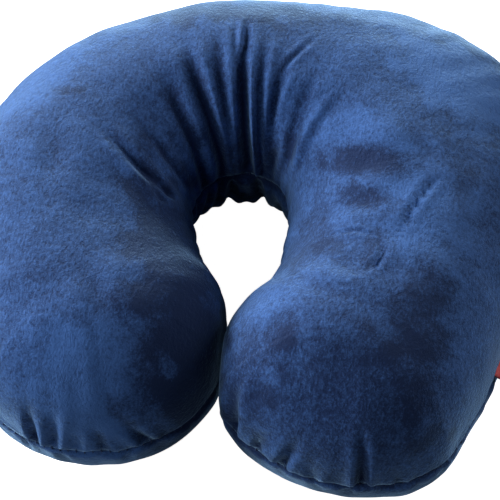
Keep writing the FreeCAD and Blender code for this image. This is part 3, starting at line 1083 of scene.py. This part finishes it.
def dome_faces(index: np.ndarray, turned: bool) -> list[list[int]]:
    """Faces between a closed skin's rows, turned over for the outside of an upper half."""
    low, high = index[:-1], index[1:]
    quads = np.stack([low, np.roll(low, -1, 1), np.roll(high, -1, 1), high], -1).reshape(-1, 4)
    return faces_of(quads[:, [1, 0, 3, 2]] if turned else quads)


def shell(outline: Outline, skins: tuple[np.ndarray, np.ndarray], half: Half) -> Mesh:
    """Closed shell of a panel: an outer and an inner skin, each closed at the crown, and a rim.

    Args:
        outline: the columns.
        skins: outer and inner (rows, columns, n) places, with any values that go with them.
        half: upper or lower.

    Returns:
        Points and faces.
    """
    top = half is Half.TOP
    outer, outer_index = dome(outline, skins[0], 0)
    inner, inner_index = dome(outline, skins[1], len(outer))
    faces = dome_faces(outer_index, top) + dome_faces(inner_index, not top)
    edge, back = outer_index[0], inner_index[0]
    rim = np.stack([edge, np.roll(edge, -1), np.roll(back, -1), back], -1)
    faces += (rim if top else rim[:, ::-1]).tolist()
    return np.concatenate([outer, inner]), faces


def block(outline: Outline, upper: np.ndarray, lower: np.ndarray) -> Mesh:
    """Closed solid of two domes that share their seam row."""
    foot = np.arange(len(outline.seam))
    top, top_index = dome(outline, upper, len(foot), foot)
    bottom, bottom_index = dome(outline, lower, len(foot) + len(top), foot)
    faces = dome_faces(top_index, True) + dome_faces(bottom_index, False)
    return np.concatenate([upper[0], top, bottom]), faces


# ---------------------------------------------------------------- sub-assemblies


@dataclass
class Cover:
    """The two velour panels."""

    form: PillowForm
    stations: int = STATIONS
    tip_stations: int = TIP_STATIONS
    rows: int = ROWS
    inner_rows: int = 12
    thickness: float = 1.8
    painted_light_per_crease: float = 0.13                          # painted shade per millimetre of valley, painted highlight per millimetre of ridge
    painted_crease_light_range: tuple[float, float] = (-0.50, 0.22)   # darkest and palest of this painted light

    def panel(self, half: Half, name: str, node: str, finish: bpy.types.Material) -> None:
        """One panel, turned in at its edge, standing for its CAD node."""
        outline = self.form.outline(self.stations, self.tip_stations)
        skins = []
        for rows, depth in ((self.rows, 0.0), (self.inner_rows, self.thickness)):
            places, _, _, crease = self.form.surface(outline, half, rows, depth)
            skins.append(np.concatenate([places, crease[..., None]], -1))
        points, faces = shell(outline, tuple(skins), half)
        points, crease = points[:, :3], points[:, 3]
        # painted shade in the valleys of folds and puckers, and painted highlight on their ridges
        painted_crease_light = np.clip(self.painted_light_per_crease * crease, *self.painted_crease_light_range)
        # pile patches plus the painted crease light: together they hold painted shade and painted highlight
        nap_and_painted_light = self.form.gathers.nap_patches_and_painted_light(points) + painted_crease_light
        piece = write_piece(name, points, faces, finish, {"brushed_and_painted_light": nap_and_painted_light})
        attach(piece, "cover")
        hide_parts(node)

    def build(self, finish: bpy.types.Material) -> None:
        """Both panels."""
        self.panel(Half.TOP, "top_panel", "cover_top_panel", finish)
        self.panel(Half.BOTTOM, "bottom_panel", "cover_bottom_panel", finish)
        columns = 4 * self.stations + 2 * self.tip_stations + 2
        log.info("cover: two panels of %d columns and %d rows", columns, self.rows)


@dataclass
class Core:
    """Knitted liner and foam inside the cover."""

    form: PillowForm
    stations: int = 80
    tip_stations: int = 40
    rows: int = 18
    liner_depths: tuple[float, float] = (4.6, 5.3)
    foam_depth: float = 5.8

    def build(self, knit: bpy.types.Material, foam: bpy.types.Material) -> None:
        """Liner panels, then the foam as both halves joined along the seam."""
        outline = self.form.outline(self.stations, self.tip_stations)
        for half, name, node in ((Half.TOP, "liner_top", "liner_top_panel"),
                                 (Half.BOTTOM, "liner_bottom", "liner_bottom_panel")):
            skins = tuple(self.form.surface(outline, half, self.rows, depth)[0]
                          for depth in self.liner_depths)
            piece = write_piece(name, *shell(outline, skins, half), knit)
            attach(piece, "cover")
            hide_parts(node)
        upper, lower = (self.form.surface(outline, half, self.rows, self.foam_depth)[0]
                        for half in (Half.TOP, Half.BOTTOM))
        seam = (upper[0] + lower[0]) / 2.0
        upper[0] = lower[0] = seam
        points, faces = block(outline, upper, lower)
        piece = write_piece("foam_filling", points, faces, foam)
        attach(piece, "cover")
        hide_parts("foam_core")
        log.info("core: liner panels and foam")


@dataclass
class SeamThread:
    """Stitches in the seam's groove, all round except behind the zip."""

    form: PillowForm
    pitch: float = 4.2
    length: float = 2.6
    radius: float = 0.26
    sides: int = 5
    bow: float = 0.45                   # how far a stitch's middle stands out
    proud: float = 0.1                  # how far its ends do

    def build(self, finish: bpy.types.Material) -> None:
        """Short upright loops of thread, each bowed outward a little."""
        outline = self.form.outline(STATIONS, TIP_STATIONS)
        rows, _, _, _ = self.form.surface(outline, Half.TOP, ROWS)
        distance = outline.distance
        places = np.arange(2.0, outline.total - 2.0, self.pitch)
        x, y = (np.interp(places, distance, rows[0, :, axis]) for axis in (0, 1))
        middle = [np.interp(places, distance, outline.middle[:, axis]) for axis in (0, 1)]
        zipped = np.interp(places, distance, outline.zip_share)
        level = np.interp(places, distance, outline.seam_level)
        out = unit(np.stack([x - middle[0], y - middle[1]], -1))
        parts = []
        turn = np.linspace(-1.0, 1.0, 5)
        shown = zipped < 0.01
        for at, way, height in zip(np.stack([x, y], -1)[shown], out[shown], level[shown]):
            bow = self.bow * (1.0 - turn ** 2)
            plan = at + way * (bow[:, None] + self.proud)
            path = np.concatenate([plan, (height + turn * self.length / 2)[:, None]], -1)
            parts.append(tube(path, self.radius, self.sides, np.array([*way, 0.0])))
        piece = write_piece("seam_thread", *gathered(parts), finish)
        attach(piece, "cover")
        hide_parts("seam_stitches")
        log.info("seam: %d stitches", len(parts))


@dataclass
class Zip:
    """Coil zip on the left half of the back, with its topstitching, stops, slider and pull."""

    form: PillowForm
    coil_inset: float = 1.25
    coil_height: float = 1.55
    coil_radius: float = 0.46
    filament: float = 0.32
    pitch: float = 1.5
    end_turn: float = 1.5
    turn_steps: int = 10                # places along one turn of the coil
    flatness: float = 0.8               # depth of a coil's turn over its height
    sides: int = 6
    stitch_height: float = 8.5
    stitch_length: float = 3.4
    stitch_pitch: float = 4.6
    stitch_radius: float = 0.26
    stitch_rise: float = 0.32           # how far a stitch's middle lies above the panel
    stitch_dip: float = 0.5             # and how much lower its ends go

    def coil(self, side: int, name: str, node: str, finish: bpy.types.Material) -> None:
        """One coil row: a filament wound round a line that follows the zip's arc."""
        place = self.form.zip_place
        first, last = place.first_heading + self.end_turn, place.last_heading - self.end_turn
        length = np.radians(last - first) * place.radius
        turns = int(length / self.pitch)
        share = np.linspace(0.0, 1.0, turns * self.turn_steps + 1)
        heading = first + (last - first) * share
        wind = 2.0 * np.pi * turns * share
        plan = place.at(heading, self.coil_inset - self.coil_radius * self.flatness * np.cos(wind)[:, None])
        height = self.form.seam_height + side * (self.coil_height - self.coil_radius * np.sin(wind))
        path = np.concatenate([plan, height[:, None]], -1)
        away = np.concatenate([place.at(heading) - np.array(place.axis), np.zeros((len(heading), 1))], -1)
        level = np.full((len(heading), 1), self.form.seam_height + side * self.coil_height)
        centre = np.concatenate([place.at(heading, self.coil_inset), level], -1)
        from_centre = unit(path - centre + 1e-6 * away)
        piece = write_piece(name, *tube(path, self.filament, self.sides, from_centre), finish)
        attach(piece, "cover")
        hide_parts(node)

    def topstitching(self, half: Half, name: str, node: str, finish: bpy.types.Material) -> None:
        """A row of stitches in the channel along the zip, lying on the panel."""
        outline = self.form.outline(STATIONS, TIP_STATIONS)
        rows, normals, _, _ = self.form.surface(outline, half, ROWS)
        wanted = self.form.seam_height + half.value * self.stitch_height
        level = rows[..., 2] * half.value
        row = np.clip((level < wanted * half.value).sum(0), 1, rows.shape[0] - 1)
        column = np.arange(rows.shape[1])
        low, high = rows[row - 1, column], rows[row, column]
        share = ((wanted - low[:, 2]) / (high[:, 2] - low[:, 2]))[:, None]
        line, out = low + (high - low) * share, normals[row, column]
        chosen = outline.zip_share > 0.99
        line, out, distance = line[chosen], out[chosen], outline.distance[chosen]
        parts = []
        for start in np.arange(distance[0] + 1.0, distance[-1] - self.stitch_length, self.stitch_pitch):
            at = start + np.linspace(0.0, 1.0, 6) * self.stitch_length
            path = np.stack([np.interp(at, distance, line[:, axis]) for axis in range(3)], -1)
            way = unit(np.stack([np.interp(at, distance, out[:, axis]) for axis in range(3)], -1))
            bow = self.stitch_rise - self.stitch_dip * np.linspace(-1.0, 1.0, 6) ** 4
            parts.append(tube(path + way * bow[:, None], self.stitch_radius, self.sides, way))
        piece = write_piece(name, *gathered(parts), finish)
        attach(piece, "cover")
        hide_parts(node)

    def build(self, thread: bpy.types.Material, tape: bpy.types.Material, coil: bpy.types.Material,
              metal: bpy.types.Material) -> None:
        """Coils, stitches, and finishes for the parts that keep their CAD shape."""
        self.coil(1, "coil_row_upper", "zip_coil_upper", coil)
        self.coil(-1, "coil_row_lower", "zip_coil_lower", coil)
        self.topstitching(Half.TOP, "topstitch_upper", "zip_stitches_upper", thread)
        self.topstitching(Half.BOTTOM, "topstitch_lower", "zip_stitches_lower", thread)
        dress_nodes(("zip_tape_upper", "zip_tape_lower"), tape)
        dress_nodes(("zip_slider", "zip_pull_tab", "zip_top_stops", "zip_bottom_stop"), metal)
        log.info("zip: coils, topstitching, slider and pull")


def dress_nodes(names: tuple[str, ...], finish: bpy.types.Material) -> None:
    """Gives CAD nodes that keep their shape a finish and a slot."""
    for name in names:
        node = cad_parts[name]
        node.data.materials.clear()
        node.data.materials.append(finish)


@dataclass
class SideLabel:
    """Ribbon label in the right arm's seam: coral outside, black behind, drooping a little."""

    form: PillowForm
    heading: float = 114.4
    width: float = 20.0
    reach: float = 25.5
    root: float = 4.0
    droop: float = 9.0
    droop_power: float = 1.7
    wave: float = 0.8
    narrowing: float = 0.06             # how much shorter its plan gets as it droops
    thickness: float = 0.45
    spoke_centre: tuple[float, float] = (0.0, -2.1)     # where the heading is taken from
    bend_start: float = 2.0             # a length beyond the seam
    fold_line: tuple[float, float] = (146.3, -69.18)    # a place in plan
    bend_end: float = 3.0               # a length beyond that place

    def ribbon(self, lift: float, length: float, name: str, nodes: tuple[str, ...],
               finish: bpy.types.Material) -> None:
        """One layer: a strip whose height falls as a power of its length, with a faint wave.

        Args:
            lift: height above the other layer.
            length: how far it stands out of the seam.
            name: the piece's name.
            nodes: CAD nodes that it stands for.
            finish: its material.
        """
        turn = np.radians(self.heading)
        out = np.array([np.sin(turn), np.cos(turn)])
        across = np.array([out[1], -out[0]])
        outline = self.form.outline(STATIONS, TIP_STATIONS)
        spoke = outline.seam - np.array(self.spoke_centre)
        column = int((unit(spoke) @ out - 10.0 * outline.neck).argmax())
        foot = outline.seam[column]
        along = np.linspace(-self.root, length, 34)
        wide = np.linspace(-self.width / 2, self.width / 2, 22)
        along, wide = np.meshgrid(along, wide, indexing="ij")
        share = np.clip(along / length, 0.0, 1.0)
        fall = -self.droop * share ** self.droop_power
        fall = fall + self.wave * share * np.sin(wide / 5.2 + 0.6) * share
        shortened = along[..., None] * out * (1.0 - self.narrowing * share[..., None])
        plan = foot + shortened + wide[..., None] * across
        places = np.concatenate([plan, (self.form.seam_height + lift + fall)[..., None]], -1)
        normal = unit(np.cross(np.gradient(places, axis=1), np.gradient(places, axis=0)))
        normal = normal * np.sign(normal[..., 2:3] + 1e-9)
        points, faces = slab(places, normal, self.thickness)
        piece = write_piece(name, points, faces, finish)
        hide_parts(*nodes)
        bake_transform(piece)

    def build(self, coral: bpy.types.Material, black: bpy.types.Material) -> None:
        """Both layers."""
        self.ribbon(0.35, self.reach, "label_coral", ("label_red", "label_tail"), coral)
        self.ribbon(-0.15, self.reach - 1.2, "label_backing", ("label_black",), black)
        log.info("label: coral ribbon with a black backing")


@dataclass
class Studio:
    """White table, soft lights and the camera."""

    target: tuple[float, float, float] = (4.95, -9.8, 55.0)
    azimuth: float = 9.42
    elevation: float = 54.61
    roll: float = -3.13
    distance: float = 836.7
    lens: float = 115.2
    sensor: float = 36.0
    clip: tuple[float, float] = (0.05, 20.0)            # metres, as are the lamps' size and distance
    lamp_size: float = 0.6
    lamp_distance: float = 1.7
    lamps: tuple[tuple[str, float, float, float], ...] = (
        ("low_back_left", 315, 15, 54.0), ("left", 270, 28, 34.0), ("front_left", 225, 38, 5.0),
        ("front", 180, 15, 1.2), ("right", 90, 15, 5.0), ("back_right", 50, 15, 16.0),
    )                                   # name, way round and way up in degrees, watts
    sky: float = 0.03                   # strength of the even light from all round
    floor_reach: float = 4.0            # metres from the middle to the floor's edges

    def camera(self) -> None:
        """A camera on a sphere about its target, rolled about its own axis."""
        az, el = np.radians(self.azimuth), np.radians(self.elevation)
        back = Vector((np.sin(az) * np.cos(el), -np.cos(az) * np.cos(el), np.sin(el)))
        lens = bpy.data.cameras.new("camera")
        lens.lens, lens.sensor_width = self.lens, self.sensor
        lens.clip_start, lens.clip_end = self.clip
        eye = bpy.data.objects.new("camera", lens)
        turned = back.to_track_quat("Z", "Y").to_matrix().to_4x4()
        turned = turned @ Matrix.Rotation(np.radians(self.roll), 4, "Z")
        place = (Vector(self.target) + back * self.distance) * MM
        eye.matrix_world = Matrix.Translation(place) @ turned
        bpy.context.scene.collection.objects.link(eye)
        bpy.context.scene.camera = eye

    def light(self, name: str, azimuth: float, elevation: float, power: float) -> None:
        """A soft disc of light that looks at the pillow from a way round and a way up, in degrees."""
        az, el = np.radians(azimuth), np.radians(elevation)
        way = Vector((np.sin(az) * np.cos(el), np.cos(az) * np.cos(el), np.sin(el)))
        lamp = bpy.data.lights.new(name, "AREA")
        lamp.shape, lamp.energy, lamp.size = "DISK", power, self.lamp_size
        body = bpy.data.objects.new(name, lamp)
        body.location = way * self.lamp_distance
        body.rotation_euler = way.to_track_quat("Z", "Y").to_euler()
        bpy.context.scene.collection.objects.link(body)

    def build(self, finish: bpy.types.Material) -> None:
        """Floor, even light, lamps and camera."""
        far = self.floor_reach
        mesh = bpy.data.meshes.new("floor")
        mesh.from_pydata([(-far, -far, 0), (far, -far, 0), (far, far, 0), (-far, far, 0)], [], [(0, 1, 2, 3)])
        mesh.materials.append(finish)
        floor = bpy.data.objects.new("floor", mesh)
        bpy.context.scene.collection.objects.link(floor)
        world = bpy.data.worlds.new("studio")
        world.use_nodes = True
        even = world.node_tree.nodes["Background"].inputs
        even["Color"].default_value = (1.0, 1.0, 1.0, 1.0)
        even["Strength"].default_value = self.sky
        bpy.context.scene.world = world
        bpy.context.scene.view_settings.view_transform = "Standard"
        for name, azimuth, elevation, power in self.lamps:
            self.light(name, azimuth, elevation, power)
        self.camera()
        log.info("studio: floor, %d lamps and camera", len(self.lamps))


def main() -> None:
    """Builds every sub-assembly in order, and reports each."""
    logging.basicConfig(level=logging.INFO, format="%(message)s")
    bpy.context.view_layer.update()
    velour, thread = Velour().material(), Thread().material()
    form = PillowForm()
    Cover(form).build(velour)
    Core(form).build(Jersey().material(), OpenCellFoam().material())
    SeamThread(form).build(thread)
    tape = WovenTape("zip_tape_weave", (0.026, 0.046, 0.125, 1.0), (0.010, 0.018, 0.055, 1.0))
    Zip(form).build(thread, tape.material(), NylonCoil().material(), EnamelledZinc().material())
    coral = WovenTape("coral_ribbon", (1.0, 0.17, 0.16, 1.0), (0.80, 0.07, 0.08, 1.0), 900.0, 0.55, 0.1)
    black = WovenTape("black_ribbon", (0.03, 0.03, 0.034, 1.0), (0.008, 0.008, 0.010, 1.0), 900.0, 0.7, 0.1)
    SideLabel(form).build(coral.material(), black.material())
    satin = WovenTape("white_satin", (0.88, 0.88, 0.86, 1.0), (0.74, 0.74, 0.72, 1.0), 1100.0, 0.45, 0.1)
    dress_nodes(("care_label",), satin.material())
    log.info("care label: white satin")
    Studio().build(PaleFloor().material())


if __name__ == "__main__":
    main()
